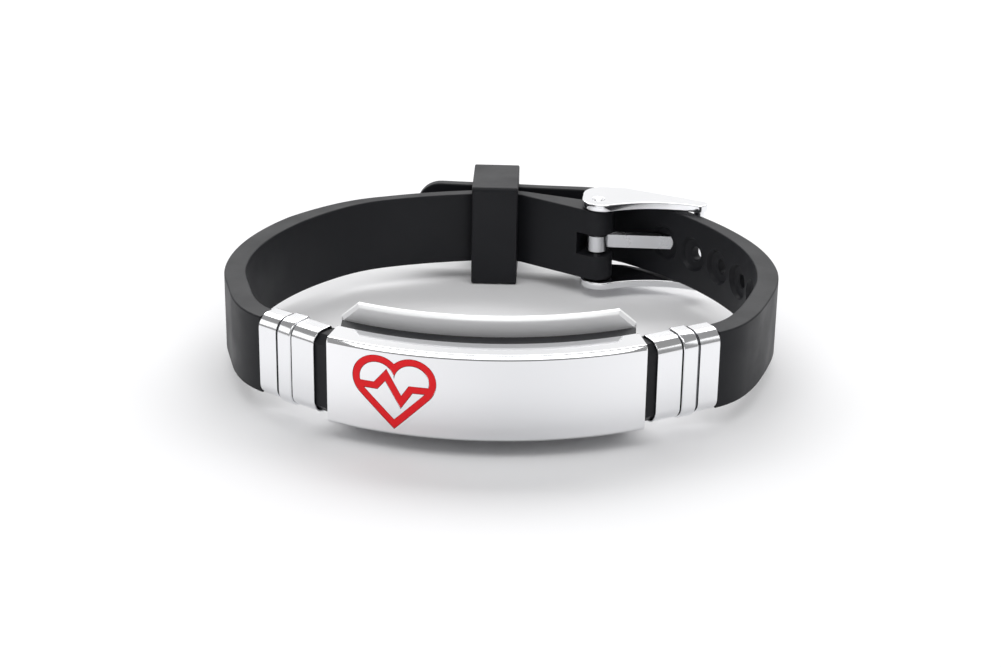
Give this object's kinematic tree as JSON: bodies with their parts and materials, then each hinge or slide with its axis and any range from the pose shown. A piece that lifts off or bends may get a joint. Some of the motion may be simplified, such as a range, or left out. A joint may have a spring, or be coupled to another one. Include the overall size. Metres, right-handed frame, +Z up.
{
  "type": "medical alert bracelet",
  "caption": "Medical alert bracelet: a curved polished steel bar with a red enamel emblem on a black silicone strap with steel end caps, a keeper and a fastened prong buckle",
  "frame": {"origin": "Middle of the bracelet's box, on the plane it stands on: its side edges rest at Z = 0.", "axes": "+X runs along the identity bar, towards the side with the adjusting holes; the bar's front faces -Y; +Z is up, across the strap's width."},
  "size_m": [0.0766, 0.072, 0.0166],
  "materials": {
    "polished_steel": "polished stainless steel",
    "black_silicone": "moulded silicone rubber, soft sheen",
    "red_enamel": "hard red enamel, filled level with the steel"
  },
  "bodies": {
    "root": {"id_bar": "polished_steel", "emblem_enamel": "red_enamel", "back_plate": "polished_steel", "strap": "black_silicone", "cap_left": "polished_steel", "cap_right": "polished_steel", "keeper": "black_silicone", "buckle_frame": "polished_steel", "hinge_pin": "polished_steel", "prong": "polished_steel"}
  },
  "joints": []
}
